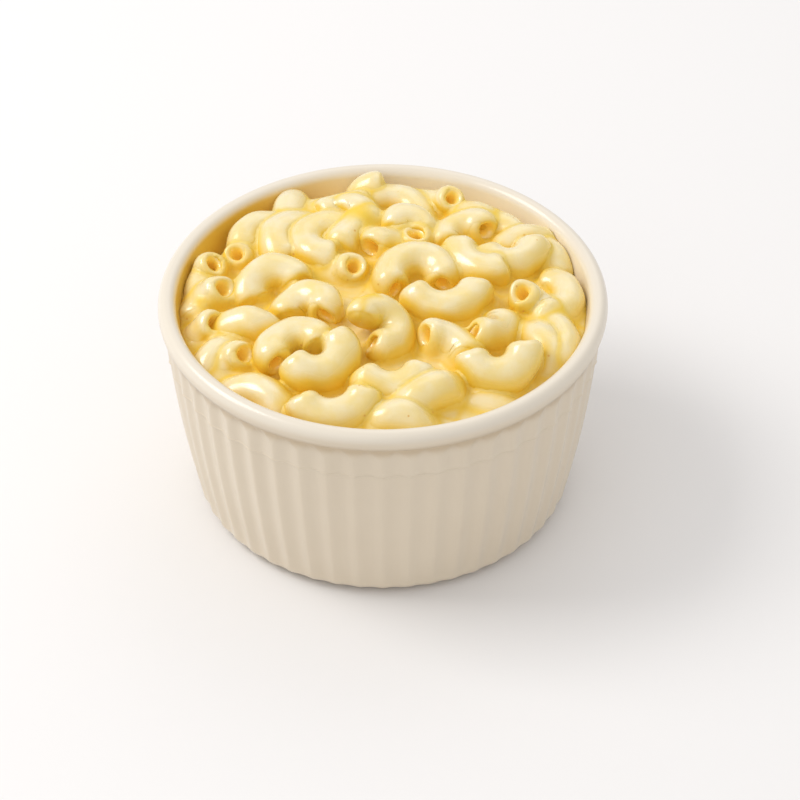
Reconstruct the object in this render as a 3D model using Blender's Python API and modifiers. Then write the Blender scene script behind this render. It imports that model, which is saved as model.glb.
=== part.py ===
"""Mac and cheese in a small fluted baking dish.

Two pieces: the turned ceramic dish with its ring of flutes, and the food in it, which is one solid
out to the uneven outline of the macaroni heaped on top. Metres, +Z up, origin under the dish's middle.
"""
import math

import bpy
import numpy as np

MM = 0.001

# Dish
RIM_RADIUS = 52.5 * MM
HEIGHT = 55.2 * MM
LIP_WIDTH = 4.3 * MM
LIP_HALF_HEIGHT = 2.45 * MM
NECK_RADIUS = 51.3 * MM        # outer wall just under the lip
NECK_HEIGHT = 50.6 * MM
SHOULDER_RADIUS = 45.5 * MM    # outer wall where it turns in to the base
SHOULDER_HEIGHT = 4.2 * MM
BASE_RADIUS = 38.9 * MM
WALL_BULGE = 0.9 * MM          # how far the outer wall bows out of a straight taper
FLOOR = 5.5 * MM               # thickness of the bottom
CAVITY_TOP_RADIUS = 48.1 * MM
CAVITY_LOW_RADIUS = 41.6 * MM
CAVITY_CORNER = 6.0 * MM       # fillet between inner wall and floor

# Flutes: hollows between narrow upright ribs
FLUTES = 50
STEPS_PER_FLUTE = 3
FLUTE_DEPTH = 0.75 * MM
FLUTE_TOP = 50.0 * MM          # the hollows end in a rounded arch under the lip
FLUTE_ARCH = 3.0 * MM

# Food
GAP = 0.3 * MM                 # clearance between the food and the dish
HEAP_STEPS = 84
HEAP_RINGS = 20
SAUCE_LEVEL = 48.6 * MM        # where the sauce stands between the macaroni, in the middle
SAUCE_SLOPE_X = 0.045          # it stands higher to the right and front
SAUCE_SLOPE_Y = -0.04
TUBE_RADIUS = 4.3 * MM
ARC_SAMPLES = 13

# The top layer of macaroni, one row a piece: the place of a point on the bent tube's axis (mm), the
# tube's heading and pitch there, the side it bends to (0 left, 90 down, 180 right, -90 up), how far
# the bend runs on behind and ahead of that point (degrees), and the radius of the bend (mm).
MACARONI = (
    (-3.4, 42.7, 54.8, 0, 30, 90, 85, 0, 7.5),
    (3.0, 40.2, 51.6, -10, 0, 165, 60, 90, 7.2),
    (9.2, 27.4, 53.0, -60, -20, 178, 110, 30, 3.6),
    (7.4, 22.4, 53.2, -112, 74, -61, 40, 0, 6.0),
    (15.9, 37.7, 53.8, -50, 49, -139, 55, 0, 8.0),
    (-4.5, 28.9, 53.2, -130, 0, 172, 120, 15, 4.2),
    (-4.5, 28.9, 53.2, -134, -3, 172, 8, 20, 26.0),
    (-14.0, 37.0, 50.2, 10, 0, 170, 50, 50, 8.0),
    (-22.6, 36.0, 51.9, -95, 0, 90, 80, 45, 5.5),
    (-31.5, 27.6, 51.8, 43, 0, 160, 70, 70, 6.5),
    (-25.2, 26.0, 52.3, 60, 0, 165, 75, 60, 6.5),
    (-34.4, 18.0, 51.4, -127, 60, 0, 110, 0, 6.5),
    (-18.5, 22.0, 52.5, -90, 0, 0, 110, 78, 6.0),
    (-41.0, 13.2, 51.2, -60, 58, 0, 80, 0, 6.5),
    (-38.4, 3.6, 51.6, -15, 48, 180, 80, 0, 6.5),
    (-25.2, 10.2, 53.0, 0, 0, 160, 95, 45, 6.0),
    (-1.6, 21.2, 52.5, -141, 16, 33, 80, 0, 5.0),
    (-7.7, 11.6, 52.8, -45, 50, -149, 50, 0, 8.0),
    (7.4, 13.9, 53.9, 5, 0, 170, 100, 88, 6.3),
    (23.0, 27.4, 53.1, -35, 12, 174, 125, 0, 5.2),
    (23.4, 34.5, 52.6, -25, 0, 90, 40, 40, 7.0),
    (28.6, 31.5, 51.8, -45, 0, 90, 40, 40, 7.0),
    (31.6, 25.2, 52.0, 20, 0, 90, 30, 40, 9.0),
    (31.5, 14.8, 52.9, 5, 0, -10, 55, 75, 5.8),
    (20.9, 12.0, 53.2, -40, 0, -15, 50, 45, 7.5),
    (40.2, 19.9, 50.2, -60, 0, 100, 50, 50, 6.5),
    (-42.5, 7.0, 48.7, -85, 0, 0, 30, 30, 14.0),
    (-13.0, -4.2, 53.2, -87, -9, -175, 160, 0, 4.8),
    (3.2, -11.4, 54.2, -92, -22, 178, 135, 62, 5.2),
    (14.8, -3.6, 52.8, 5, 0, -20, 55, 60, 8.0),
    (33.5, 1.6, 52.5, -145, 61, -12, 85, 0, 8.0),
    (43.3, 3.8, 50.6, -84, 0, 165, 50, 60, 7.2),
    (22.1, -12.3, 52.3, -150, 46, -144, 125, 0, 5.4),
    (11.4, -12.6, 52.8, -148, 15, 17, 95, 0, 6.0),
    (41.9, -12.1, 50.0, -80, 0, 160, 45, 45, 8.0),
    (37.3, -15.1, 50.8, -72, -8, 110, 45, 45, 7.5),
    (-40.0, -8.2, 51.0, -15, 48, 150, 75, 0, 6.0),
    (-31.0, -8.4, 52.0, -10, 0, 100, 65, 65, 5.0),
    (-38.2, -17.0, 49.6, 50, 0, 120, 50, 60, 6.0),
    (-32.9, -19.8, 51.3, -20, 45, 170, 85, 0, 6.0),
    (-25.0, -21.9, 52.9, -78, -3, -6, 150, 0, 5.8),
    (-13.0, -27.2, 52.8, 25, 0, -20, 62, 90, 6.3),
    (-27.0, -31.4, 50.0, -35, 0, 120, 55, 60, 7.5),
    (-11.0, -39.7, 50.2, 5, 0, -40, 50, 60, 8.0),
    (2.4, -31.0, 51.2, 5, 0, -20, 50, 55, 7.2),
    (3.8, -39.8, 50.2, -5, 0, 100, 60, 60, 5.5),
    (26.4, -26.9, 52.0, 3, 0, -30, 60, 75, 6.3),
    (9.8, -33.2, 51.6, 35, 5, 90, 35, 45, 8.0),
    (24.4, -31.5, 46.0, -10, 0, 90, 50, 50, 7.0),
)


def arc(centre, radii, start, end, steps):
    """Points on an ellipse arc in the profile's plane, from angle start to end in degrees."""
    angles = [math.radians(start + (end - start) * i / steps) for i in range(steps + 1)]
    return [(centre[0] + radii[0] * math.cos(a), centre[1] + radii[1] * math.sin(a)) for a in angles]


def outer_radius(height):
    """Outer wall between shoulder and neck: a straight taper with a slight bow."""
    t = (height - SHOULDER_HEIGHT) / (NECK_HEIGHT - SHOULDER_HEIGHT)
    return SHOULDER_RADIUS + (NECK_RADIUS - SHOULDER_RADIUS) * t + 4.0 * WALL_BULGE * t * (1.0 - t)


def inner_radius(height):
    """Inner wall above the fillet: a straight taper that meets the lip."""
    low, high = FLOOR + CAVITY_CORNER, HEIGHT - LIP_HALF_HEIGHT
    t = (height - low) / (high - low)
    return CAVITY_LOW_RADIUS + (CAVITY_TOP_RADIUS - CAVITY_LOW_RADIUS) * t


def turned(name, profile, steps):
    """A closed body of revolution: the profile goes from the axis, out, down its outer side, and back."""
    mesh = bpy.data.meshes.new(name + "_profile")
    points = [(r, 0.0, z) for r, z in profile]
    mesh.from_pydata(points, [(i, i + 1) for i in range(len(points) - 1)], [])
    spun = bpy.data.objects.new(name + "_profile", mesh)
    bpy.context.scene.collection.objects.link(spun)
    screw = spun.modifiers.new("turn", "SCREW")
    screw.axis = "Z"
    screw.angle = 2.0 * math.pi
    screw.steps = steps
    screw.render_steps = steps
    screw.use_merge_vertices = True
    screw.merge_threshold = 0.00001
    graph = bpy.context.evaluated_depsgraph_get()
    body = bpy.data.meshes.new_from_object(spun.evaluated_get(graph))
    body.name = name
    bpy.data.objects.remove(spun)
    return bpy.data.objects.new(name, body)


def read_points(mesh):
    """The mesh's vertices as an array of rows."""
    points = np.zeros(len(mesh.vertices) * 3)
    mesh.vertices.foreach_get("co", points)
    return points.reshape(-1, 3)


def write_points(mesh, points):
    """Puts the rows back as the mesh's vertices."""
    mesh.vertices.foreach_set("co", points.ravel())
    mesh.update()


def smooth_step(value, start, end):
    """0 at start, 1 at end, with level ends."""
    t = np.clip((value - start) / (end - start), 0.0, 1.0)
    return t * t * (3.0 - 2.0 * t)


def finish(part, colour, roughness, collection):
    """Gives the part its material and smooth shading, and puts it in the collection."""
    material = bpy.data.materials.new(part.name)
    material.use_nodes = True
    shader = material.node_tree.nodes["Principled BSDF"]
    shader.inputs["Base Color"].default_value = (*colour, 1.0)
    shader.inputs["Roughness"].default_value = roughness
    shader.inputs["Metallic"].default_value = 0.0
    part.data.materials.append(material)
    part.data.shade_smooth()
    part.data.set_sharp_from_angle(angle=math.radians(50))
    collection.objects.link(part)


def dish_profile():
    """Half section of the dish, from the middle of its floor over the lip to the middle of its base."""
    lip = (RIM_RADIUS - LIP_WIDTH / 2.0, HEIGHT - LIP_HALF_HEIGHT)
    corner = (CAVITY_LOW_RADIUS - CAVITY_CORNER, FLOOR + CAVITY_CORNER)
    profile = [(0.0, FLOOR)]
    profile += arc(corner, (CAVITY_CORNER, CAVITY_CORNER), -90, 0, 2)
    profile += arc(lip, (LIP_WIDTH / 2.0, LIP_HALF_HEIGHT), 180, -45, 5)
    profile += [(outer_radius(z), z) for z in (NECK_HEIGHT, 47.5 * MM, 41.0 * MM, 24.0 * MM)]
    turn_in = (SHOULDER_RADIUS - BASE_RADIUS, SHOULDER_HEIGHT)
    profile += arc((BASE_RADIUS, SHOULDER_HEIGHT), turn_in, 0, -90, 3)
    profile += [(0.0, 0.0)]
    return profile


def make_dish():
    """Turns the dish, then sinks the outer wall between the ribs to make the flutes."""
    dish = turned("dish", dish_profile(), FLUTES * STEPS_PER_FLUTE)
    points = read_points(dish.data)
    radius = np.hypot(points[:, 0], points[:, 1])
    height = points[:, 2]
    wall = inner_radius(np.maximum(height, FLOOR)) + (RIM_RADIUS - CAVITY_TOP_RADIUS) / 3.0
    outside = (radius > wall) & (height < FLUTE_TOP)
    outside |= (radius > BASE_RADIUS - MM) & (height < SHOULDER_HEIGHT)
    around = np.arctan2(points[:, 1], points[:, 0]) * FLUTES
    hollow = np.clip((1.0 - np.cos(around)) / 1.5, 0.0, 1.0)
    fade = 1.0 - smooth_step(height, FLUTE_TOP - FLUTE_ARCH, FLUTE_TOP)
    sink = FLUTE_DEPTH * hollow * fade * outside
    points[:, :2] *= (1.0 - sink / np.maximum(radius, MM))[:, None]
    write_points(dish.data, points)
    dish.rotation_euler.z = math.pi / FLUTES      # a rib, not a hollow, faces the front
    return dish


def tube_axis(row):
    """Points along one bent tube's axis: sin and 1 - cos of the angle run along heading and bend."""
    x, y, z, heading, pitch, lean, behind, ahead, bend = row
    h, p, lean = (math.radians(v) for v in (heading, pitch, lean))
    along = np.array((math.cos(p) * math.cos(h), math.cos(p) * math.sin(h), math.sin(p)))
    left = np.array((-math.sin(h), math.cos(h), 0.0))
    inwards = math.cos(lean) * left - math.sin(lean) * np.cross(along, left)
    s = np.radians(np.linspace(-behind, ahead, ARC_SAMPLES))[:, None]
    return (np.array((x, y, z)) + bend * (np.sin(s) * along + (1.0 - np.cos(s)) * inwards)) * MM


def heap_height(x, y):
    """Top of the food: the sauce's level, or over it the highest ball rolled along a tube's axis.

    Each ball goes over into a 45 degree cone, which stands for the sauce that clings beside the tube.
    """
    top = SAUCE_LEVEL + SAUCE_SLOPE_X * x + SAUCE_SLOPE_Y * y
    for row in MACARONI:
        for cx, cy, cz in tube_axis(row):
            away = np.hypot(x - cx, y - cy)
            ball = np.sqrt(np.maximum(TUBE_RADIUS ** 2 - away ** 2, 0.0))
            cone = math.sqrt(2.0) * TUBE_RADIUS - away
            top = np.maximum(top, cz + np.where(away < TUBE_RADIUS / math.sqrt(2.0), ball, cone))
    return top


def make_food():
    """A turned plug that follows the dish's inside, its top raised to the outline of the macaroni."""
    level = SAUCE_LEVEL
    edge = inner_radius(level) - GAP
    rings = [(edge * i / HEAP_RINGS, level) for i in range(HEAP_RINGS)]
    corner = (CAVITY_LOW_RADIUS - CAVITY_CORNER, FLOOR + CAVITY_CORNER)
    side = [(edge, level), (inner_radius(30.0 * MM) - GAP, 30.0 * MM)]
    side += arc(corner, (CAVITY_CORNER - GAP, CAVITY_CORNER - GAP), 0, -90, 2)
    food = turned("macaroni_heap", rings + side + [(0.0, FLOOR + GAP)], HEAP_STEPS)
    points = read_points(food.data)
    top = points[:, 2] > level - 0.1 * MM
    x, y = points[top, 0], points[top, 1]
    points[top, 2] = heap_height(x, y)
    radius = np.hypot(x, y)
    at_wall = radius > edge - 0.1 * MM
    grow = np.where(at_wall, (inner_radius(np.minimum(points[top, 2], level)) - GAP) / edge, 1.0)
    points[top, :2] *= grow[:, None]
    write_points(food.data, points)
    return food


for old in list(bpy.data.objects):
    bpy.data.objects.remove(old, do_unlink=True)

parts = bpy.data.collections.new("mac_and_cheese")
bpy.context.scene.collection.children.link(parts)
finish(make_dish(), (0.72, 0.66, 0.55), 0.18, parts)
finish(make_food(), (0.86, 0.64, 0.28), 0.3, parts)
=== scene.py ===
"""Mac and cheese in a fluted ramekin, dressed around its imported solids.

The fine dish, the sauce and the separate pieces of macaroni are surfaces worked out in millimetres
in the frame of the solids, and scaled to metres as they become meshes.
"""
import math

import bpy
import numpy as np
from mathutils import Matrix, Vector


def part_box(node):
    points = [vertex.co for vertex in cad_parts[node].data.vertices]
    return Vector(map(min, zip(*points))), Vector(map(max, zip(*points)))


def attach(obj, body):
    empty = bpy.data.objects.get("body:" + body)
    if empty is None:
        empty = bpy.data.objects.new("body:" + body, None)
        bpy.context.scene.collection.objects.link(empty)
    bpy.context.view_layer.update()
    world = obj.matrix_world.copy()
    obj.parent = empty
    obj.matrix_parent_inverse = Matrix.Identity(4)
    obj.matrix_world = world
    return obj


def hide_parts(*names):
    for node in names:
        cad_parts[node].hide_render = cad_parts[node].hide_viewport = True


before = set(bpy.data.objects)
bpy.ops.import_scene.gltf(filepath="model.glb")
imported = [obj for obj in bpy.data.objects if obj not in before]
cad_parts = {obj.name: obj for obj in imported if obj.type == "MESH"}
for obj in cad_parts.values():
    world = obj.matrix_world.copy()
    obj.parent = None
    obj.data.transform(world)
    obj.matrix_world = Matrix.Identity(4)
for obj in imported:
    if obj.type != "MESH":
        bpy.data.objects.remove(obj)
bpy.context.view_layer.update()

# ---------------------------------------------------------------- camera, light and floor
# A pale matt floor under soft studio light: one broad lamp high at the left, weaker ones at the
# back right and the front left, and a pale sky that lights every side a little.
camera_data = bpy.data.cameras.new("camera")
camera_data.sensor_width = 36.0
camera_data.lens = 134.9
camera_data.clip_start = 0.01
camera = bpy.data.objects.new("camera", camera_data)
bpy.context.scene.collection.objects.link(camera)
bpy.context.scene.camera = camera
camera_elevation = math.radians(39.9)
camera_distance = 0.720
look_at = (0.0040, 0.0, 0.0221)
camera.location = (
    look_at[0],
    look_at[1] - camera_distance * math.cos(camera_elevation),
    look_at[2] + camera_distance * math.sin(camera_elevation),
)
camera.rotation_euler = (math.pi / 2.0 - camera_elevation, 0.0, 0.0)


def soft_lamp(name, azimuth, elevation, distance, size, power, colour):
    """An area lamp that faces the dish from an azimuth (0 is +X, 90 is the back) and an elevation."""
    lamp = bpy.data.lights.new(name, "AREA")
    lamp.shape = "SQUARE"
    lamp.size = size
    lamp.energy = power
    lamp.color = colour
    holder = bpy.data.objects.new(name, lamp)
    a, e = math.radians(azimuth), math.radians(elevation)
    holder.location = (
        distance * math.cos(e) * math.cos(a),
        distance * math.cos(e) * math.sin(a),
        distance * math.sin(e) + 0.03,
    )
    holder.rotation_euler = (math.pi / 2.0 - e, 0.0, a + math.pi / 2.0)
    bpy.context.scene.collection.objects.link(holder)


soft_lamp("key_lamp", 172.0, 48.0, 1.1, 0.55, 5.4, (1.0, 0.985, 0.96))
soft_lamp("back_lamp", 70.0, 50.0, 1.2, 0.8, 1.1, (1.0, 0.99, 0.97))
soft_lamp("fill_lamp", 235.0, 50.0, 1.5, 1.0, 1.1, (1.0, 0.99, 0.97))

world = bpy.data.worlds.new("pale_sky")
world.use_nodes = True
world.node_tree.nodes["Background"].inputs["Color"].default_value = (1.0, 0.99, 0.985, 1.0)
world.node_tree.nodes["Background"].inputs["Strength"].default_value = 0.76
bpy.context.scene.world = world
bpy.context.scene.view_settings.view_transform = "Standard"

floor_mesh = bpy.data.meshes.new("floor")
floor_mesh.from_pydata([(-3, -3, 0), (3, -3, 0), (3, 3, 0), (-3, 3, 0)], [], [(0, 1, 2, 3)])
floor = bpy.data.objects.new("floor", floor_mesh)
bpy.context.scene.collection.objects.link(floor)
floor_paint = bpy.data.materials.new("pale_floor")
floor_paint.use_nodes = True
floor_shader = floor_paint.node_tree.nodes["Principled BSDF"]
floor_shader.inputs["Base Color"].default_value = (0.86, 0.85, 0.85, 1.0)
floor_shader.inputs["Roughness"].default_value = 0.9
floor_shader.inputs["Specular IOR Level"].default_value = 0.1
floor_mesh.materials.append(floor_paint)

# ---------------------------------------------------------------- dish
# A jiggered stoneware ramekin dipped in cream glaze. Fifty shallow flutes run up its side and end in
# round arches under a rolled lip, and the mould's seam leaves a fine ledge round the upper wall.
MM = 0.001
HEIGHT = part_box("dish")[1].z / MM
RIM_RADIUS = 52.5
LIP_HALF = (2.15, 2.45)    # half the rolled lip's width and height
FLOOR_TOP = 5.5
FILLET = (35.6, 11.5)      # middle of the curve between the floor and the inner wall
FOOT_TOP = 4.2             # where the outer wall starts to turn in to the foot
WALL_TOP = 50.6            # where the outer wall meets the lip
FLUTES = 50
FLUTE_STEPS = 14           # directions a flute is drawn with
FLUTE_DEPTH = 0.75
ARCH_FOOT = 47.9           # height of a flute's arch at its ribs
ARCH_RISE = 2.3            # and how much higher it stands in the middle
LEDGE_HEIGHT = 41.5
LEDGE_STEP = 0.2


def ellipse_arc(centre, radii, start, end, count):
    """Points on an ellipse in the section's plane, from angle start to angle end in degrees."""
    angle = np.radians(np.linspace(start, end, count))
    return np.stack([centre[0] + radii[0] * np.cos(angle), centre[1] + radii[1] * np.sin(angle)], -1)


def ease(value, start, end):
    """0 at start and 1 at end, as 3t^2 - 2t^3 between them."""
    t = np.clip((value - start) / (end - start), 0.0, 1.0)
    return t * t * (3.0 - 2.0 * t)


def inner_radius(z):
    """Inside of the dish above its fillet: a straight taper from 41.6 mm to 48.1 mm at the lip."""
    return 41.6 + (48.1 - 41.6) * (z - FILLET[1]) / (HEIGHT - LIP_HALF[1] - FILLET[1])


def outer_radius(z):
    """Outside of the dish: a straight taper from 45.5 to 51.3 mm that bows out by 0.9 mm midway."""
    t = (z - FOOT_TOP) / (WALL_TOP - FOOT_TOP)
    return 45.5 + (51.3 - 45.5) * t + 4.0 * 0.9 * t * (1.0 - t)


def dish_section():
    """Half section (radius, height) from the floor's middle over the lip to the foot's middle."""
    lip = (RIM_RADIUS - LIP_HALF[0], HEIGHT - LIP_HALF[1])
    up = np.linspace(14.0, 50.0, 12)
    to_ledge, past_ledge, to_foot = (49.4, 42.6, 16), (42.3, 40.9, 12), (40.3, 5.0, 24)
    down = np.concatenate([np.linspace(*stretch) for stretch in (to_ledge, past_ledge, to_foot)])
    return np.concatenate([
        np.stack([np.linspace(2.0, 33.0, 8), np.full(8, FLOOR_TOP)], -1),
        ellipse_arc(FILLET, (6.0, 6.0), -90, -4, 8),
        np.stack([inner_radius(up), up], -1),
        ellipse_arc(lip, LIP_HALF, 178, -38, 26),
        ellipse_arc((52.75, 49.95), (1.35, 1.05), 128, 172, 5),
        np.stack([outer_radius(down), down], -1),
        ellipse_arc((38.9, FOOT_TOP), (6.6, FOOT_TOP), 0, -86, 12),
        np.array([(38.4, 0.0), (36.2, 0.0), (35.6, 0.25), (35.0, 0.9), (30.0, 1.0), (2.0, 1.0)]),
    ])


def flute_relief(angle, z):
    """How far the wall is sunk (mm): 0 on a rib, deepest midway between ribs.

    Across, the depth follows ((1 - cos(50 angle)) / 2) ^ 0.8, a soft wave with its ribs a little
    narrower than its hollows. Up the wall it fades out where the flute ends in an arch, which stands
    higher in the middle of the flute than at its ribs, and it is fainter by the foot.
    """
    hollow = (0.5 - 0.5 * np.cos(FLUTES * (angle + math.pi / 2.0))) ** 0.8
    arch = ARCH_FOOT + ARCH_RISE * hollow
    return FLUTE_DEPTH * hollow * (1.0 - ease(z, arch - 1.8, arch)) * (0.3 + 0.7 * ease(z, 0.0, 8.0))


def smooth_piece(name, points, faces):
    """A smoothly shaded object at the origin, from points in mm and its faces."""
    mesh = bpy.data.meshes.new(name)
    mesh.from_pydata(points * MM, [], faces)
    mesh.shade_smooth()
    piece = bpy.data.objects.new(name, mesh)
    bpy.context.scene.collection.objects.link(piece)
    return piece


def ring_mesh(name, rings, start_pole, end_pole):
    """Closed skin over rings of points, an array (ring, step, xyz), with a fan at either end."""
    count, steps = rings.shape[:2]
    points = np.concatenate([rings.reshape(-1, 3), [start_pole, end_pole]])
    row, step = np.meshgrid(np.arange(count - 1), np.arange(steps), indexing="ij")
    after = (step + 1) % steps
    quads = np.stack([row * steps + step, (row + 1) * steps + step,
                      (row + 1) * steps + after, row * steps + after], -1).reshape(-1, 4)
    around = np.arange(steps)
    beyond = (around + 1) % steps
    first = np.stack([around, beyond, np.full(steps, count * steps)], -1)
    base = (count - 1) * steps
    last = np.stack([base + beyond, base + around, np.full(steps, count * steps + 1)], -1)
    return smooth_piece(name, points, quads.tolist() + first.tolist() + last.tolist())


def flute_angles():
    """FLUTE_STEPS directions a flute, spaced closer by the ribs than in the hollows."""
    share = np.arange(FLUTE_STEPS) / FLUTE_STEPS
    share = share - 0.3 * np.sin(2.0 * math.pi * share) / (2.0 * math.pi)
    return ((np.arange(FLUTES)[:, None] + 0.5 + share) * 2.0 * math.pi / FLUTES).ravel()


def dish_rings():
    """The section turned about Z, its outer wall sunk by the flutes and stepped at the ledge.

    The step comes in over half a millimetre, with a fine bead along its upper edge. The first six
    rows past the widest one are the lip's underside, which stays round.
    """
    section = dish_section()
    angle = flute_angles()
    radius = np.repeat(section[:, :1], len(angle), 1)
    z = np.repeat(section[:, 1:], len(angle), 1)
    rows = np.arange(len(section))
    outside = (rows > int(np.argmax(section[:, 0])) + 6)[:, None] & (radius > 38.0)
    below = 1.0 - ease(z, LEDGE_HEIGHT - 0.25, LEDGE_HEIGHT + 0.25)
    bead = np.exp(-((z - LEDGE_HEIGHT - 0.1) / 0.26) ** 2)
    radius = radius - outside * (flute_relief(angle[None, :], z) + LEDGE_STEP * (below - bead))
    return np.stack([radius * np.cos(angle), radius * np.sin(angle), z], -1)


def colour_mix(tree, factor, first, second):
    """A Mix Color node; each input is a socket to link, or a plain value to set."""
    mix = tree.nodes.new("ShaderNodeMix")
    mix.data_type = "RGBA"
    for name, value in (("Factor", factor), ("A", first), ("B", second)):
        if isinstance(value, bpy.types.NodeSocket):
            tree.links.new(value, mix.inputs[name])
        else:
            mix.inputs[name].default_value = value
    return mix.outputs["Result"]


def noise_at(tree, scale, detail, coordinates):
    """A noise texture's Fac on the given coordinates."""
    noise = tree.nodes.new("ShaderNodeTexNoise")
    noise.inputs["Scale"].default_value = scale
    noise.inputs["Detail"].default_value = detail
    tree.links.new(coordinates, noise.inputs["Vector"])
    return noise.outputs["Fac"]


def ramp_between(tree, value, low, high):
    """Value stretched so that low becomes 0 and high becomes 1, clamped."""
    stretch = tree.nodes.new("ShaderNodeMapRange")
    stretch.inputs["From Min"].default_value = low
    stretch.inputs["From Max"].default_value = high
    tree.links.new(value, stretch.inputs["Value"])
    return stretch.outputs["Result"]


def bump_from(tree, height, distance, strength):
    """A Bump node's normal for a height socket."""
    bump = tree.nodes.new("ShaderNodeBump")
    bump.inputs["Distance"].default_value = distance
    bump.inputs["Strength"].default_value = strength
    tree.links.new(height, bump.inputs["Height"])
    return bump.outputs["Normal"]


def add_value(piece, name, values):
    """A named value for each of the mesh's points, for its material to read."""
    layer = piece.data.attributes.new(name, "FLOAT", "POINT")
    layer.data.foreach_set("value", np.asarray(values, np.float32).ravel())


def value_of(tree, name):
    """The socket of a value that add_value gave the mesh."""
    node = tree.nodes.new("ShaderNodeAttribute")
    node.attribute_name = name
    return node.outputs["Fac"]


def glaze():
    """Cream glaze with a soft gloss, darker under the lip with painted shade, darker by the foot, and paler
    over the lip as painted light. The inner wall has painted bounce light from the food, golden on its left."""
    material = bpy.data.materials.new("cream_glaze")
    material.use_nodes = True
    tree = material.node_tree
    shader = tree.nodes["Principled BSDF"]
    place = tree.nodes.new("ShaderNodeTexCoord").outputs["Object"]
    cloud = noise_at(tree, 60.0, 2.0, place)
    glazed = colour_mix(tree, cloud, (0.69, 0.59, 0.45, 1.0), (0.73, 0.635, 0.495, 1.0))
    # Painted shade under the lip, and a darker band by the foot.
    glazed = colour_mix(tree, value_of(tree, "outer_lip_shade_and_foot"), glazed, (0.54, 0.42, 0.27, 1.0))
    # Painted light: the glaze turns paler over the lip's top.
    glazed = colour_mix(tree, value_of(tree, "lip"), glazed, (0.78, 0.71, 0.60, 1.0))
    # Painted bounce light from the food on the inner wall: golden on its left, pale elsewhere.
    bounce_colour = colour_mix(tree, value_of(tree, "bounce_side"), (0.93, 0.87, 0.77, 1.0), (0.82, 0.54, 0.08, 1.0))
    colour = colour_mix(tree, value_of(tree, "bounce_light"), glazed, bounce_colour)
    tree.links.new(colour, shader.inputs["Base Color"])
    shader.inputs["Roughness"].default_value = 0.28
    shader.inputs["IOR"].default_value = 1.5
    shader.inputs["Coat Weight"].default_value = 0.3
    shader.inputs["Coat Roughness"].default_value = 0.12
    return material


dish = ring_mesh("fluted_dish", dish_rings(), (0.0, 0.0, FLOOR_TOP), (0.0, 0.0, 1.0))
dish.data.materials.append(glaze())
section_radius, section_z = dish_section().T
rows = np.arange(len(section_z))
widest = int(np.argmax(section_radius))
inside = (rows < widest) & (section_radius < RIM_RADIUS - LIP_HALF[0])
# Painted bounce light on the inner wall below the lip and on the floor.
bounce_light = inside * (1.0 - ease(section_z, 52.8, 55.0))
# Painted shade under the rolled lip and a darker band by the foot, kept to the outside below.
lip_shade_and_foot = 0.95 * np.exp(-((section_z - 49.8) / 1.5) ** 2) + 0.8 * np.exp(-((section_z - 0.3) / 0.45) ** 2)
outer_lip_shade_and_foot = (rows > widest) * lip_shade_and_foot
# Painted light on the lip, rising from 52.3 mm to full at 54.2 mm.
lip = ease(section_z, 52.3, 54.2)
# each value runs along the section, with one more for the middle of the floor and one for the foot's
for name, value, floor_value in (("bounce_light", bounce_light, 0.8), ("outer_lip_shade_and_foot", outer_lip_shade_and_foot, 0.0), ("lip", lip, 0.0)):
    around_rows = np.repeat(value, FLUTES * FLUTE_STEPS)
    add_value(dish, name, np.concatenate([around_rows, [floor_value, 0.0]]))
# The painted bounce light is golden on the left of the inner wall and pale elsewhere.
bounce_side = 0.04 + 0.96 * ease(-np.cos(flute_angles()), -0.1, 0.75)
add_value(dish, "bounce_side", np.concatenate([np.tile(bounce_side, len(section_z)), [0.5, 0.0]]))
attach(dish, "root")
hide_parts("dish")

# ---------------------------------------------------------------- macaroni
# Cooked elbow macaroni, each a short bent tube of soft pasta with rounded cut ends. It lies in a
# loose heap, and the sauce that coats it fills the creases where tubes touch.
TUBE_RADIUS = 4.25
HOLE_RADIUS = 1.2
LIP_RISE = 2.4     # how far a tube's rounded end stands out past its wall
BODY_RINGS = 23    # rings drawn along a tube between its ends
AROUND = 32        # and points on each ring

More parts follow.
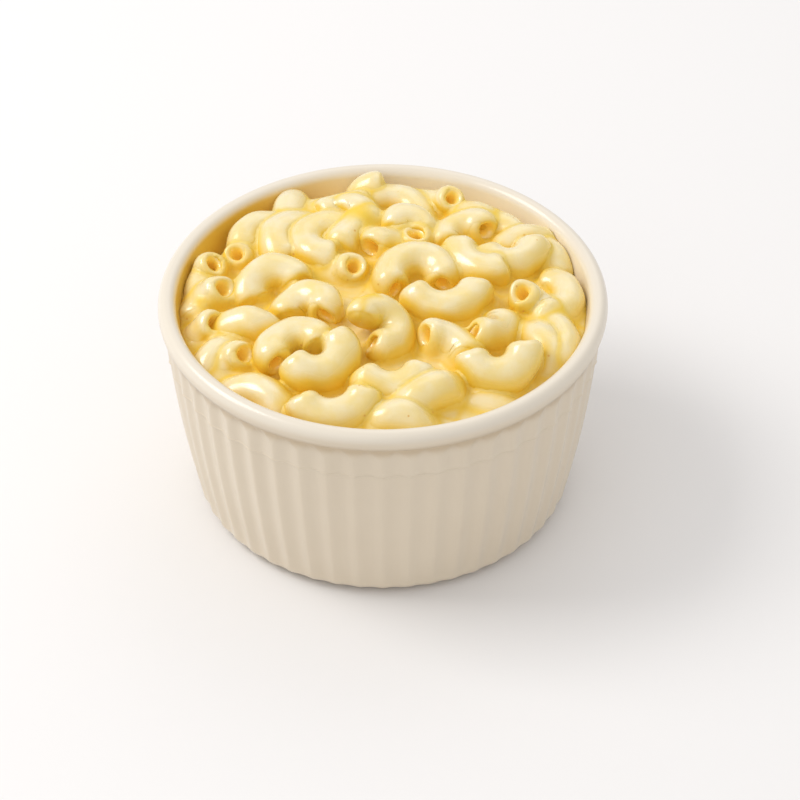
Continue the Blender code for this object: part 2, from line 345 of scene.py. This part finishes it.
# One row a piece, but for one long piece that is two rows running into each other, with a third for
# the sauce that fills its bend. A row gives a point on the tube's axis, its heading and pitch there,
# the side it bends to (0 left, 90 down, 180 right, -90 up), degrees of bend behind and ahead of the
# point, the bend's radius, the tube's thickness as a share of TUBE_RADIUS, and which of its ends
# stand open above the sauce (0 none, 1 the one ahead, 2 the one behind, 3 both).
BEHIND, AHEAD, BEND, SHARE, OPEN_ENDS = 6, 7, 8, 9, 10
MACARONI = np.array([
    (-2.9, 42.6, 54.6, 0, 26, 90, 85, 0, 7.0, 0.82, 0),
    (3.0, 40.2, 51.6, -10, 0, 165, 60, 90, 7.2, 1.0, 0),
    (9.2, 27.2, 52.9, -60, -20, 178, 110, 5, 3.6, 1.0, 0),
    (7.6, 22.3, 53.1, -112, 74, -61, 40, 0, 6.0, 0.96, 1),
    (15.9, 37.0, 54.4, -51, 50, -140, 55, 0, 8.0, 0.92, 1),
    (-5.5, 27.6, 53.4, -132, 0, 180, 150, 0, 3.4, 1.05, 0),
    (-5.5, 27.6, 53.4, -132, -4, 0, 5, 16, 28.0, 1.05, 0),
    (-9.6, 35.4, 52.7, -159, 0, 0, 8, 8, 28.0, 1.0, 0),
    (-14.0, 37.0, 50.2, 10, 0, 170, 50, 50, 8.0, 0.98, 0),
    (-22.6, 36.0, 51.9, -95, 0, 90, 80, 45, 5.5, 1.02, 0),
    (-31.5, 27.6, 51.8, 43, 0, 160, 44, 70, 6.5, 1.02, 0),
    (-25.2, 26.0, 52.3, 60, 0, 165, 75, 60, 6.5, 1.02, 0),
    (-34.4, 18.0, 51.4, -127, 60, 0, 110, 0, 6.5, 0.88, 1),
    (-18.5, 22.0, 52.5, -90, 0, 0, 110, 78, 6.0, 1.02, 0),
    (-41.0, 13.2, 51.8, -60, 58, 0, 80, 0, 6.5, 0.94, 1),
    (-38.6, 3.2, 52.2, -15, 48, 180, 80, 0, 6.5, 1.04, 1),
    (-25.2, 10.2, 53.0, 0, 0, 160, 95, 45, 6.0, 1.02, 0),
    (-1.4, 20.4, 53.2, -141, 16, 33, 80, 0, 5.4, 1.06, 1),
    (-7.7, 11.6, 52.8, -45, 50, -149, 50, 0, 8.0, 1.0, 1),
    (7.4, 13.9, 53.9, 5, 0, 170, 100, 88, 6.3, 1.02, 3),
    (23.2, 27.1, 53.5, -40, 12, 172, 125, 0, 5.2, 1.0, 1),
    (22.8, 32.4, 52.4, -25, 0, 90, 30, 40, 7.0, 0.92, 0),
    (29.0, 29.4, 51.6, -45, 0, 90, 35, 40, 7.0, 0.9, 0),
    (33.2, 23.4, 52.0, 20, 0, 90, 26, 36, 9.0, 0.92, 0),
    (30.2, 13.1, 52.9, 5, 0, -10, 55, 75, 5.8, 1.0, 0),
    (20.9, 11.4, 53.2, -40, 0, -15, 50, 45, 7.5, 1.04, 0),
    (39.6, 19.6, 50.4, -60, 0, 100, 40, 40, 6.5, 0.92, 0),
    (-42.8, 5.6, 48.6, -85, 0, 0, 20, 20, 14.0, 0.98, 0),
    (-13.0, -4.2, 53.2, -87, -9, 163, 160, 0, 4.8, 1.02, 1),
    (-0.1, -16.7, 52.3, -159, 22, -155, 215, 0, 4.6, 1.0, 1),
    (14.8, -3.6, 52.8, 5, 0, -20, 55, 60, 8.0, 1.02, 0),
    (33.2, -0.7, 54.1, -149, 61, -7, 110, 0, 4.2, 1.0, 1),
    (43.3, 3.8, 50.6, -84, 0, 165, 50, 60, 7.2, 0.98, 0),
    (22.9, -14.1, 53.4, -156, 31, -160, 62, 0, 8.5, 1.04, 1),
    (11.7, -14.2, 52.7, -171, 21, -6, 75, 0, 7.0, 1.08, 1),
    (41.9, -12.1, 50.0, -80, 0, 160, 45, 45, 8.0, 0.95, 0),
    (37.3, -15.1, 50.8, -72, -8, 110, 45, 45, 7.5, 0.95, 0),
    (-40.0, -8.2, 51.0, -15, 48, 150, 75, 0, 6.0, 0.94, 1),
    (-31.0, -8.4, 52.0, -10, 0, 100, 65, 65, 5.0, 1.02, 0),
    (-38.2, -17.0, 49.6, 50, 0, 120, 50, 60, 6.0, 0.96, 0),
    (-32.9, -19.8, 51.3, -20, 45, 170, 85, 0, 6.0, 0.95, 1),
    (-25.0, -21.9, 52.9, -78, -3, -6, 150, 0, 5.8, 1.02, 1),
    (-13.0, -27.2, 52.8, 25, 0, -20, 62, 90, 6.3, 1.04, 0),
    (-27.0, -31.4, 50.0, -35, 0, 120, 55, 60, 7.5, 1.02, 0),
    (-11.0, -39.7, 50.2, 5, 0, -40, 50, 60, 8.0, 1.02, 0),
    (2.4, -31.0, 51.2, 5, 0, -20, 50, 55, 7.2, 1.0, 0),
    (3.8, -39.8, 50.2, -5, 0, 100, 60, 60, 5.5, 1.0, 0),
    (26.4, -26.9, 52.0, 3, 0, -30, 60, 75, 6.3, 1.04, 0),
    (9.8, -33.2, 51.6, 35, 5, 90, 35, 45, 8.0, 1.04, 0),
    (24.4, -31.5, 46.0, -10, 0, 90, 50, 50, 7.0, 1.0, 0),
])


def ripple(points, size, seed):
    """Smooth uneven values between about -1 and 1: the sum of seven sine waves in random directions."""
    dice = np.random.default_rng(seed)
    total = np.zeros(points.shape[:-1])
    for _ in range(7):
        way = dice.normal(size=3)
        way *= 2.0 * math.pi / (size * dice.uniform(0.7, 1.6) * np.linalg.norm(way))
        total += np.sin(points @ way + dice.uniform(0.0, 2.0 * math.pi))
    return total / 3.5


def tube_frames(rows):
    """For each piece the unit vectors along it, towards its bend's centre, and across its plane."""
    heading, pitch, lean = np.radians(rows[:, 3:6].T)
    zero = np.zeros_like(heading)
    along = np.stack([np.cos(pitch) * np.cos(heading), np.cos(pitch) * np.sin(heading), np.sin(pitch)], -1)
    left = np.stack([-np.sin(heading), np.cos(heading), zero], -1)
    inwards = np.cos(lean)[:, None] * left - np.sin(lean)[:, None] * np.cross(along, left)
    return along, inwards, np.cross(along, inwards)


def tube_end(is_open):
    """One end of a tube, from its middle out: along-axis places past the end, radii, bore values.

    An open end rounds over as half an ellipse LIP_RISE tall into a bore 6.5 mm deep; a closed one,
    where sauce has filled the hole, rounds over into a low dome.
    """
    middle, half = (TUBE_RADIUS + HOLE_RADIUS) / 2.0, (TUBE_RADIUS - HOLE_RADIUS) / 2.0
    if is_open:
        bore = np.array([6.5, 4.6, 3.0, 1.6, 0.5])
        turn = np.radians(np.linspace(165.0, 8.0, 9))
        lip = np.cos(turn[::-1]) * 0.5
        over = (middle + 2.0 * lip * half) * (1.0 - 0.05 * (lip + 0.5))
        return (np.concatenate([LIP_RISE * np.sin(turn[::-1]), -bore[::-1]]),
                np.concatenate([over, HOLE_RADIUS - 0.04 * bore[::-1]]),
                np.concatenate([0.5 - lip, np.ones(len(bore))]))
    turn = np.radians(np.linspace(8.0, 86.0, 9))
    dome = np.array([0.94, 0.8, 0.6, 0.36, 0.12])
    return (np.concatenate([LIP_RISE * np.sin(turn), LIP_RISE + 0.7 * (1.0 - dome ** 2)]),
            np.concatenate([middle + half * np.cos(turn), middle * dome]),
            np.zeros(len(turn) + len(dome)))


def tube_rows(length, ends):
    """Along-axis places and radii (both mm) of a tube's rings from one end to the other, and their
    bore values, 1 in the bore and 0 outside. The wall narrows by 7% over its last 2.5 mm."""
    outer = np.linspace(0.5, length - 0.5, BODY_RINGS)
    from_end = np.minimum(outer, length - outer)
    narrow = 1.0 - 0.07 * np.exp(-from_end / 1.5)
    first, last = tube_end(ends & 2), tube_end(ends & 1)
    return (np.concatenate([-first[0][::-1], outer, length + last[0]]),
            np.concatenate([first[1][::-1], TUBE_RADIUS * narrow, last[1]]),
            np.concatenate([first[2][::-1], np.zeros(BODY_RINGS), last[2]]))


def macaroni_rings(rows):
    """Every tube's rings as one array (piece, ring, step, xyz), with the bore value of each ring.

    A ring's centre lies on the bend's circle, at centre + R (sin s along + (1 - cos s) inwards), and
    its points circle that centre; the inside of the bend is pressed a little flat.
    """
    along, inwards, across = tube_frames(rows)
    bend = rows[:, BEND]
    behind, ahead = np.radians(rows[:, BEHIND]) * bend, np.radians(rows[:, AHEAD]) * bend
    tubes = [tube_rows(length, int(ends)) for length, ends in zip(behind + ahead, rows[:, OPEN_ENDS])]
    place, radius, bore_values = (np.stack(values) for values in zip(*tubes))
    radius = radius * rows[:, SHARE][:, None]
    s = ((place - behind[:, None]) / bend[:, None])[..., None]
    towards = np.cos(s) * inwards[:, None] - np.sin(s) * along[:, None]
    centre = rows[:, None, :3] + bend[:, None, None] * (np.sin(s) * along[:, None]
                                                        + (1.0 - np.cos(s)) * inwards[:, None])
    v = np.linspace(0.0, 2.0 * math.pi, AROUND, endpoint=False)
    flat = 1.0 - 0.05 * np.maximum(np.cos(v), 0.0) ** 2
    circle = (np.cos(v)[:, None] * towards[:, :, None] + np.sin(v)[:, None] * across[:, None, None])
    return centre[:, :, None] + radius[..., None, None] * flat[:, None] * circle, bore_values


def tube_places(points, row, frame_vectors):
    """Where points stand against a bent tube: across from its axis, past its end, in from its end,
    and whether the end nearby is the one ahead.

    In the bend's own plane the nearest point of the axis circle is at the point's polar angle, held
    between the two ends. The first three are in mm; past is 0 between the ends.
    """
    along, inwards, across = frame_vectors
    bend = row[BEND]
    off = points - (row[:3] + bend * inwards)
    u, v, w = off @ along, -(off @ inwards), off @ across
    low, high = -math.radians(row[BEHIND]), math.radians(row[AHEAD])
    angle = np.clip(np.arctan2(u, v), low, high)
    du, dv = u - bend * np.sin(angle), v - bend * np.cos(angle)
    side = np.hypot(du * np.sin(angle) + dv * np.cos(angle), w)
    past = np.abs(du * np.cos(angle) - dv * np.sin(angle))
    return side, past, bend * np.minimum(angle - low, high - angle), angle > 0.5 * (low + high)


def tube_distance(side, past, share):
    """Distance (mm) to a whole tube with rounded ends, its bore counted as full.

    The end is the half ellipse that tube_rows draws, so past the end the across and along parts
    combine as sqrt(a^2 + (b h / LIP_RISE)^2) - h, where h is half the wall's thickness.
    """
    middle = (TUBE_RADIUS + HOLE_RADIUS) / 2.0 * share
    half = (TUBE_RADIUS - HOLE_RADIUS) / 2.0 * share
    return np.hypot(np.maximum(side - middle, 0.0), past * half / LIP_RISE) - half


FIELD_LOW = np.array([-50.1, -50.1, 42.0])  # corner of the grid that holds the food's fields,
FIELD_STEP = 0.6                            # its spacing
FIELD_SHAPE = (168, 168, 36)                # and its size
WARP = 0.28        # how far a tube strays from true
TUBE_BLEND = 0.5   # how softly the sauce rounds the creases between tubes,
LEVEL_BLEND = 1.1  # and where its level meets a tube
BORE_CUT = 2.2     # radius that is kept clear of sauce in an open bore,
BORE_PAST = 5.0    # how far past the end,
BORE_DEPTH = 8.0   # and how far in
FAR = 12.0         # distances are held to this,
BORE_FAR = 3.0     # and those to a bore to this


def warped(points, amount):
    """Points moved by a smooth uneven field, so that no tube stays quite true."""
    return points + amount * np.stack([ripple(points, 10.0, seed) for seed in (11, 12, 13)], -1)


def open_ends(rows):
    """Where the open ends are, as points in the middle of their rims."""
    along, inwards, _ = tube_frames(rows)
    points = []
    for i, row in enumerate(rows):
        for flag, turn, side in ((1, row[AHEAD], 1.0), (2, -row[BEHIND], -1.0)):
            if int(row[OPEN_ENDS]) & flag:
                s = math.radians(turn)
                axis = row[:3] + row[BEND] * (math.sin(s) * along[i] + (1.0 - math.cos(s)) * inwards[i])
                points.append(axis + side * LIP_RISE * (math.cos(s) * along[i] + math.sin(s) * inwards[i]))
    return np.array(points)


def sauce_level(x, y, rows):
    """Where the sauce stands between the tubes: a little under the mean height of the axes nearby.

    Each tube weighs exp(-r^2 / 2 s^2) at distance r, with s = 9 mm. At the back it sinks by the wall.
    """
    away = (x[..., None] - rows[:, 0]) ** 2 + (y[..., None] - rows[:, 1]) ** 2
    weight = np.exp(-away / (2.0 * 9.0 ** 2))
    height = (weight * rows[:, 2]).sum(-1) / weight.sum(-1)
    wave = 0.5 * ripple(np.stack([x, y, np.zeros_like(x)], -1), 16.0, 5)
    return height - 2.2 + wave - 3.0 * ease(np.hypot(x, y), 41.0, 47.0) * ease(y, -5.0, 20.0)


def field_grid():
    """The grid's own points, an array (x, y, z, xyz)."""
    axes = [FIELD_LOW[i] + FIELD_STEP * np.arange(FIELD_SHAPE[i]) for i in range(3)]
    return np.stack(np.meshgrid(*axes, indexing="ij"), -1)


def blended_fields(rows):
    """Three grids of values: the soft least of the distances to every tube and to the sauce's level,
    how far that lies under the plain least (1 in a tight crease), and how far outside every open
    bore a point is.

    The soft least of distances d is -k log(sum of exp(-d / k)), so it is the plain distance by a
    lone tube, and lower in a crease, where it draws the zero surface out into a fillet. The sauce
    stands lower by an open end.
    """
    true_grid = field_grid()
    near = np.zeros(FIELD_SHAPE)
    for end in open_ends(rows):
        near = np.maximum(near, np.exp(-((true_grid - end) ** 2).sum(-1) / (2.0 * 2.8 ** 2)))
    x, y = true_grid[:, :, 0, 0], true_grid[:, :, 0, 1]
    level = (true_grid[..., 2] - sauce_level(x, y, rows)[..., None]) * 0.95 + 2.2 * near
    total = np.zeros(FIELD_SHAPE)
    least = np.full(FIELD_SHAPE, FAR)
    bores = np.full(FIELD_SHAPE, BORE_FAR)
    grid = warped(true_grid, -WARP)
    frames = tube_frames(rows)
    for i, row in enumerate(rows):
        middle = row[:3] + row[BEND] * 0.5 * frames[1][i]
        size = row[BEND] * 1.5 + TUBE_RADIUS + 4.0
        low = np.maximum(np.floor((middle - size - FIELD_LOW) / FIELD_STEP).astype(int), 0)
        high = np.minimum(np.ceil((middle + size - FIELD_LOW) / FIELD_STEP).astype(int) + 1, FIELD_SHAPE)
        block = tuple(slice(a, b) for a, b in zip(low, high))
        side, past, depth, ahead = tube_places(grid[block], row, [f[i] for f in frames])
        away = tube_distance(side, past, row[SHARE])
        total[block] += np.exp(-np.clip(away, -FAR, FAR) / TUBE_BLEND)
        least[block] = np.minimum(least[block], away)
        is_open = np.where(ahead, int(row[OPEN_ENDS]) & 1, int(row[OPEN_ENDS]) & 2) > 0
        bore = np.maximum(np.maximum(side - BORE_CUT * row[SHARE], past - BORE_PAST), depth - BORE_DEPTH)
        bores[block] = np.minimum(bores[block], np.where(is_open, bore, BORE_FAR))
    tubes = np.minimum(-TUBE_BLEND * np.log(np.maximum(total, 1e-12)), FAR)
    held_level = np.clip(level, -FAR, FAR)
    soft = -LEVEL_BLEND * np.log(np.exp(-tubes / LEVEL_BLEND) + np.exp(-held_level / LEVEL_BLEND))
    crowding = (least - tubes) / (TUBE_BLEND * math.log(2.0))
    crowding += (np.minimum(tubes, level) - soft) / (LEVEL_BLEND * math.log(2.0))
    return soft, np.clip(crowding, 0.0, 1.0), bores


def read_field(field, points):
    """The grid's value at any points, by straight interpolation between its eight neighbours."""
    place = np.clip((points - FIELD_LOW) / FIELD_STEP, 0.0, np.array(FIELD_SHAPE) - 1.001)
    cell = place.astype(int)
    part = place - cell
    value = np.zeros(points.shape[:-1])
    for dx in (0, 1):
        for dy in (0, 1):
            for dz in (0, 1):
                share = (np.where(dx, part[..., 0], 1.0 - part[..., 0])
                         * np.where(dy, part[..., 1], 1.0 - part[..., 1])
                         * np.where(dz, part[..., 2], 1.0 - part[..., 2]))
                value += share * field[cell[..., 0] + dx, cell[..., 1] + dy, cell[..., 2] + dz]
    return value


def ring_normals(points):
    """Outward unit normals of a ring array, from differences along the tube and around it."""
    run = np.gradient(points, axis=1)
    turn = np.roll(points, -1, axis=2) - np.roll(points, 1, axis=2)
    normal = np.cross(turn, run)
    return normal / np.maximum(np.linalg.norm(normal, axis=-1, keepdims=True), 1e-9)


def grown_to_sauce(points, normal, field, most):
    """Moves each point out along its normal to the field's zero surface, by at most a given reach."""
    steps = np.linspace(0.0, most, 9)
    values = np.stack([read_field(field, points + normal * t) for t in steps])
    outside = values >= 0.0
    found = np.argmax(outside, 0)
    before = np.maximum(found - 1, 0)
    lower = np.take_along_axis(values, before[None], 0)[0]
    upper = np.take_along_axis(values, found[None], 0)[0]
    share = np.clip(-lower / np.maximum(upper - lower, 1e-9), 0.0, 1.0)
    travel = (before + share * (found - before)) * (steps[1] - steps[0])
    travel = np.where(outside.any(0), travel, most)
    return points + normal * travel[..., None]


def shut_in(points, normal, field, reach):
    """How shut in a point is, 0 in the open to 1 deep in a crease.

    In the open the field a given reach out along the normal equals that reach; near others it is less.
    """
    return np.clip(1.0 - read_field(field, points + normal * reach) / reach, 0.0, 1.0)


rings, bore = macaroni_rings(MACARONI)
rings = warped(rings, WARP)
food_field, crowd_field, bore_field = blended_fields(MACARONI)
coated = grown_to_sauce(rings, ring_normals(rings), food_field, TUBE_BLEND * math.log(2.0) * 1.05)
open_share = (1.0 - np.clip(bore * 2.0, 0.0, 1.0))[..., None, None]
coated = rings + (coated - rings) * open_share
wall = np.hypot(coated[..., 0], coated[..., 1])
coated[..., :2] *= np.minimum(1.0, (inner_radius(coated[..., 2]) - 0.1) / wall)[..., None]


def joined_tubes(name, tubes):
    """One mesh of closed tubes from an array (piece, ring, step, xyz): rings of quads, and a fan
    over the bottom of each bore."""
    pieces, count, steps = tubes.shape[:3]
    caps = np.stack([tubes[:, 0].mean(1), tubes[:, -1].mean(1)], 1)
    points = np.concatenate([tubes.reshape(-1, 3), caps.reshape(-1, 3)])
    piece, row, step = np.meshgrid(np.arange(pieces), np.arange(count - 1), np.arange(steps),
                                   indexing="ij")
    start = piece * count * steps
    after = (step + 1) % steps
    quads = np.stack([start + row * steps + step, start + row * steps + after,
                      start + (row + 1) * steps + after, start + (row + 1) * steps + step], -1).reshape(-1, 4)
    piece, step = np.meshgrid(np.arange(pieces), np.arange(steps), indexing="ij")
    start = piece * count * steps
    after = (step + 1) % steps
    cap = pieces * count * steps + 2 * piece
    end = start + (count - 1) * steps
    fans = np.concatenate([np.stack([start + after, start + step, cap], -1).reshape(-1, 3),
                           np.stack([end + step, end + after, cap + 1], -1).reshape(-1, 3)])
    return smooth_piece(name, points, quads.tolist() + fans.tolist())


def crease_of(points, normal):
    """Crease value: near and wider shut-in measures, averaged, or how crowded the place is if more."""
    near, wide = (shut_in(points, normal, food_field, reach) for reach in (1.6, 4.0))
    shut = 0.5 * near + 0.5 * wide
    return np.maximum(shut, 0.8 * read_field(crowd_field, points))


def shade_away_from_light(normal):
    """Painted shade: 0 where the surface faces up and a little left, towards the light, 1 on its far sides.
    """
    return 1.0 - ease(normal @ np.array([-0.33, -0.08, 0.94]), 0.1, 0.98)


macaroni = joined_tubes("macaroni", coated)
final_normal = ring_normals(coated)
# The crease value paints amber shade into creases and dulls the gloss there; the bores are left out.
crease = crease_of(coated, final_normal) * (1.0 - ease(bore, 0.3, 0.8))[..., None]
# Painted shade on the sides of the tubes that face away from the light.
under = shade_away_from_light(final_normal)
bore_wide = np.broadcast_to(bore[..., None], crease.shape)
cap_count = 2 * len(MACARONI)
add_value(macaroni, "crease", np.concatenate([crease.ravel(), np.ones(cap_count)]))
add_value(macaroni, "under", np.concatenate([under.ravel(), np.ones(cap_count)]))
add_value(macaroni, "bore", np.concatenate([bore_wide.ravel(), np.ones(cap_count)]))


def cheese_tint():
    """Node group for the colour of cheese sauce over pasta: pale cream in the open, golden where it
    is mottled, golden as painted shade on the sides facing away from the light, amber as painted shade
    where it is shut in, deep golden as painted shade in a bore, with a few brown specks. Height is a fine
    grain for a bump."""
    group = bpy.data.node_groups.new("cheese_tint", "ShaderNodeTree")
    for name in ("Crease", "Under", "Bore"):
        group.interface.new_socket(name, in_out="INPUT", socket_type="NodeSocketFloat")
    for name in ("Cream", "Golden", "Amber"):
        group.interface.new_socket(name, in_out="INPUT", socket_type="NodeSocketColor")
    group.interface.new_socket("Color", in_out="OUTPUT", socket_type="NodeSocketColor")
    group.interface.new_socket("Height", in_out="OUTPUT", socket_type="NodeSocketFloat")
    given = group.nodes.new("NodeGroupInput").outputs
    result = group.nodes.new("NodeGroupOutput").inputs
    place = group.nodes.new("ShaderNodeTexCoord").outputs["Object"]
    mottle = ramp_between(group, noise_at(group, 170.0, 5.0, place), 0.38, 0.66)
    faint = group.nodes.new("ShaderNodeMath")
    faint.operation = "MULTIPLY"
    faint.inputs[1].default_value = 0.6
    group.links.new(mottle, faint.inputs[0])
    pale = colour_mix(group, faint.outputs[0], given["Cream"], given["Golden"])
    # Golden as painted shade on the sides that face away from the light.
    low = colour_mix(group, ramp_between(group, given["Under"], 0.05, 0.95), pale, given["Golden"])
    # Amber as painted shade where the surface is shut in.
    deep = colour_mix(group, ramp_between(group, given["Crease"], 0.08, 0.8), low, given["Amber"])
    # Deep golden as painted shade inside a bore.
    inside = colour_mix(group, ramp_between(group, given["Bore"], 0.5, 0.95), deep, (0.90, 0.64, 0.12, 1.0))
    specks = group.nodes.new("ShaderNodeTexVoronoi")
    specks.inputs["Scale"].default_value = 190.0
    group.links.new(place, specks.inputs["Vector"])
    spotted = colour_mix(group, ramp_between(group, specks.outputs["Distance"], 0.03, 0.07),
                         (0.74, 0.42, 0.07, 1.0), inside)
    group.links.new(spotted, result["Color"])
    group.links.new(noise_at(group, 240.0, 3.0, place), result["Height"])
    return group


tint = cheese_tint()


def value_mix(tree, factor, first, second):
    """A Mix node from one plain value to another."""
    mix = tree.nodes.new("ShaderNodeMix")
    tree.links.new(factor, mix.inputs["Factor"])
    mix.inputs["A"].default_value = first
    mix.inputs["B"].default_value = second
    return mix.outputs["Result"]


def cheese(name, cream, golden, amber, gloss):
    """Glossy cheese sauce, duller where it is shut in. Some light passes through it, and the bores have
    a faint painted glow that stands in for the light that comes through their walls."""
    material = bpy.data.materials.new(name)
    material.use_nodes = True
    tree = material.node_tree
    shader = tree.nodes["Principled BSDF"]
    node = tree.nodes.new("ShaderNodeGroup")
    node.node_tree = tint
    for colour, value in (("Cream", cream), ("Golden", golden), ("Amber", amber)):
        node.inputs[colour].default_value = (*value, 1.0)
    values = {name: value_of(tree, name.lower()) for name in ("Crease", "Under", "Bore")}
    for name, value in values.items():
        tree.links.new(value, node.inputs[name])
    tree.links.new(node.outputs["Color"], shader.inputs["Base Color"])
    tree.links.new(bump_from(tree, node.outputs["Height"], 0.0007, 0.35), shader.inputs["Normal"])
    dull = ramp_between(tree, values["Crease"], 0.1, 0.7)
    tree.links.new(value_mix(tree, dull, 0.27, 0.6), shader.inputs["Roughness"])
    tree.links.new(value_mix(tree, dull, gloss, 0.0), shader.inputs["Coat Weight"])
    shader.inputs["IOR"].default_value = 1.45
    shader.inputs["Coat Roughness"].default_value = 0.18
    shader.inputs["Coat IOR"].default_value = 1.7
    # Painted glow in the bores.
    glow = ramp_between(tree, values["Bore"], 0.4, 1.0)
    tree.links.new(value_mix(tree, glow, 0.0, 0.17), shader.inputs["Emission Strength"])
    shader.inputs["Emission Color"].default_value = (0.80, 0.48, 0.05, 1.0)
    shader.inputs["Subsurface Weight"].default_value = 0.2
    shader.inputs["Subsurface Radius"].default_value = (1.0, 0.85, 0.6)
    shader.inputs["Subsurface Scale"].default_value = 0.001
    return material


macaroni.data.materials.append(
    cheese("sauced_pasta", (0.87, 0.75, 0.45), (0.865, 0.64, 0.13), (0.84, 0.57, 0.055), 1.0))
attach(macaroni, "root")
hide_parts("macaroni_heap")

# ---------------------------------------------------------------- sauce
# Thick cheese sauce that stands between the tubes and against the dish, over a core that fills the
# dish below. Its skin is the same soft surface that the tubes' coating follows.


def surface_net(field):
    """Points and quads of the skin where a grid's values change sign, negative being inside.

    Each cell that the skin crosses gets one point, the mean of the crossings on its edges, and each
    grid edge that crosses gets one quad over the four cells round it.
    """
    inside = field < 0.0
    shape = np.array(field.shape) - 1
    total = np.zeros((*shape, 3))
    count = np.zeros(shape)
    crossings = []
    for axis in range(3):
        first = tuple(slice(0, -1) if k == axis else slice(None) for k in range(3))
        second = tuple(slice(1, None) if k == axis else slice(None) for k in range(3))
        crosses = inside[first] != inside[second]
        gap = np.where(crosses, field[first] - field[second], 1.0)
        place = np.moveaxis(np.indices(crosses.shape), 0, -1).astype(float)
        place[..., axis] += np.where(crosses, field[first] / gap, 0.0)
        others = [k for k in range(3) if k != axis]
        for a in (0, 1):
            for b in (0, 1):
                part = [slice(None)] * 3
                part[others[0]] = slice(a, shape[others[0]] + a)
                part[others[1]] = slice(b, shape[others[1]] + b)
                part = tuple(part)
                total += np.where(crosses[part][..., None], place[part], 0.0)
                count += crosses[part]
        crossings.append((axis, others, crosses, inside[first]))
    used = count > 0
    number = np.full(tuple(shape), -1)
    number[used] = np.arange(used.sum())
    points = total[used] / count[used][:, None]
    quads = []
    for axis, others, crosses, first_inside in crossings:
        spot = np.argwhere(crosses)
        keep = np.all((spot[:, others] > 0) & (spot[:, others] < shape[others]), axis=1)
        spot = spot[keep]
        corner = []
        for a, b in ((-1, -1), (0, -1), (0, 0), (-1, 0)):
            cell = spot.copy()
            cell[:, others[0]] += a
            cell[:, others[1]] += b
            corner.append(number[tuple(cell.T)])
        quad = np.stack(corner, -1)
        flip = first_inside[tuple(spot.T)] == (axis == 1)
        quad[flip] = quad[flip][:, ::-1]
        quads.append(quad)
    return points * FIELD_STEP + FIELD_LOW, np.concatenate(quads)


SKIN_FLOOR = 45.5  # where the sauce is cut off flat, inside the core below
SKIN_SINK = 0.12   # how far the sauce's own skin lies inside the tubes' coating
WALL_REACH = 0.25  # how far it reaches into the dish's wall


def fill_pockets(field):
    """Turns air that the open top can't reach into sauce, by spreading the open air step by step."""
    air = field > 0.0
    reached = np.zeros_like(air)
    reached[..., -1] = air[..., -1]
    for _ in range(60):
        grown = reached.copy()
        for axis in range(3):
            grown |= np.roll(reached, 1, axis) | np.roll(reached, -1, axis)
        grown &= air
        if grown.sum() == reached.sum():
            break
        reached = grown
    return np.where(air & ~reached, -0.3, field)


def sauce_skin():
    """The blended surface less the open bores, cut to the dish's inside and a floor, with its points.

    It lies SKIN_SINK under the tubes' coating in the open and a little above it in a crease. Its
    floor is one fan round a middle point.
    """
    field = np.maximum(food_field + SKIN_SINK * (1.0 - 1.6 * crowd_field), -bore_field)
    x, y, z = np.moveaxis(field_grid(), -1, 0)
    field = np.maximum(field, np.hypot(x, y) - inner_radius(z) - WALL_REACH)
    field = fill_pockets(np.maximum(field, SKIN_FLOOR - z))
    points, quads = surface_net(field)
    flat = (points[quads][..., 2] < SKIN_FLOOR + 0.05).all(1)
    edges = np.stack([quads[flat], np.roll(quads[flat], -1, 1)], -1).transpose(1, 0, 2).reshape(-1, 2)
    code = edges[:, 0] * len(points) + edges[:, 1]
    rim = edges[~np.isin(code, edges[:, 1] * len(points) + edges[:, 0])]
    fan = np.concatenate([rim, np.full((len(rim), 1), len(points))], 1)
    points = np.concatenate([points, [(0.0, 0.0, SKIN_FLOOR)]])
    return smooth_piece("sauce", points, quads[~flat].tolist() + fan.tolist()), points


sauce, sauce_points = sauce_skin()
sauce_normal = np.zeros(sauce_points.size)
sauce.data.vertices.foreach_get("normal", sauce_normal)
sauce_normal = sauce_normal.reshape(-1, 3)
# Painted shade in the sauce's creases.
add_value(sauce, "crease", crease_of(sauce_points, sauce_normal))
# Painted shade on the sauce where it faces away from the light.
add_value(sauce, "under", shade_away_from_light(sauce_normal))
add_value(sauce, "bore", np.zeros(len(sauce_points)))
sauce.data.materials.append(
    cheese("cheese_sauce", (0.88, 0.755, 0.43), (0.87, 0.655, 0.145), (0.84, 0.575, 0.06), 0.5))
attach(sauce, "root")

# ---------------------------------------------------------------- food core
# Below the skin the dish is full of the same pasta and sauce. It never shows, so it is one plain
# turned plug from the dish's floor up into the sauce.
CORE_TOP = 46.2
CORE_FLOOR = 5.4
core_side = np.linspace(CORE_TOP, 14.0, 10)
core_section = np.concatenate([
    np.stack([np.linspace(3.0, 40.0, 6), np.full(6, CORE_TOP)], -1),
    np.stack([inner_radius(core_side) + 0.2, core_side], -1),
    ellipse_arc(FILLET, (6.2, 6.1), -4, -90, 8),
    np.stack([np.linspace(33.0, 3.0, 6), np.full(6, CORE_FLOOR)], -1),
])
turn = np.linspace(0.0, 2.0 * math.pi, 96, endpoint=False)
core_radius, core_z = core_section[:, :1], core_section[:, 1:]
core_rings = np.stack([core_radius * np.cos(turn), core_radius * np.sin(turn), core_z + 0.0 * turn], -1)
food_core = ring_mesh("food_core", core_rings, (0.0, 0.0, CORE_TOP), (0.0, 0.0, CORE_FLOOR))
food_core.data.materials.append(sauce.data.materials[0])
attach(food_core, "root")
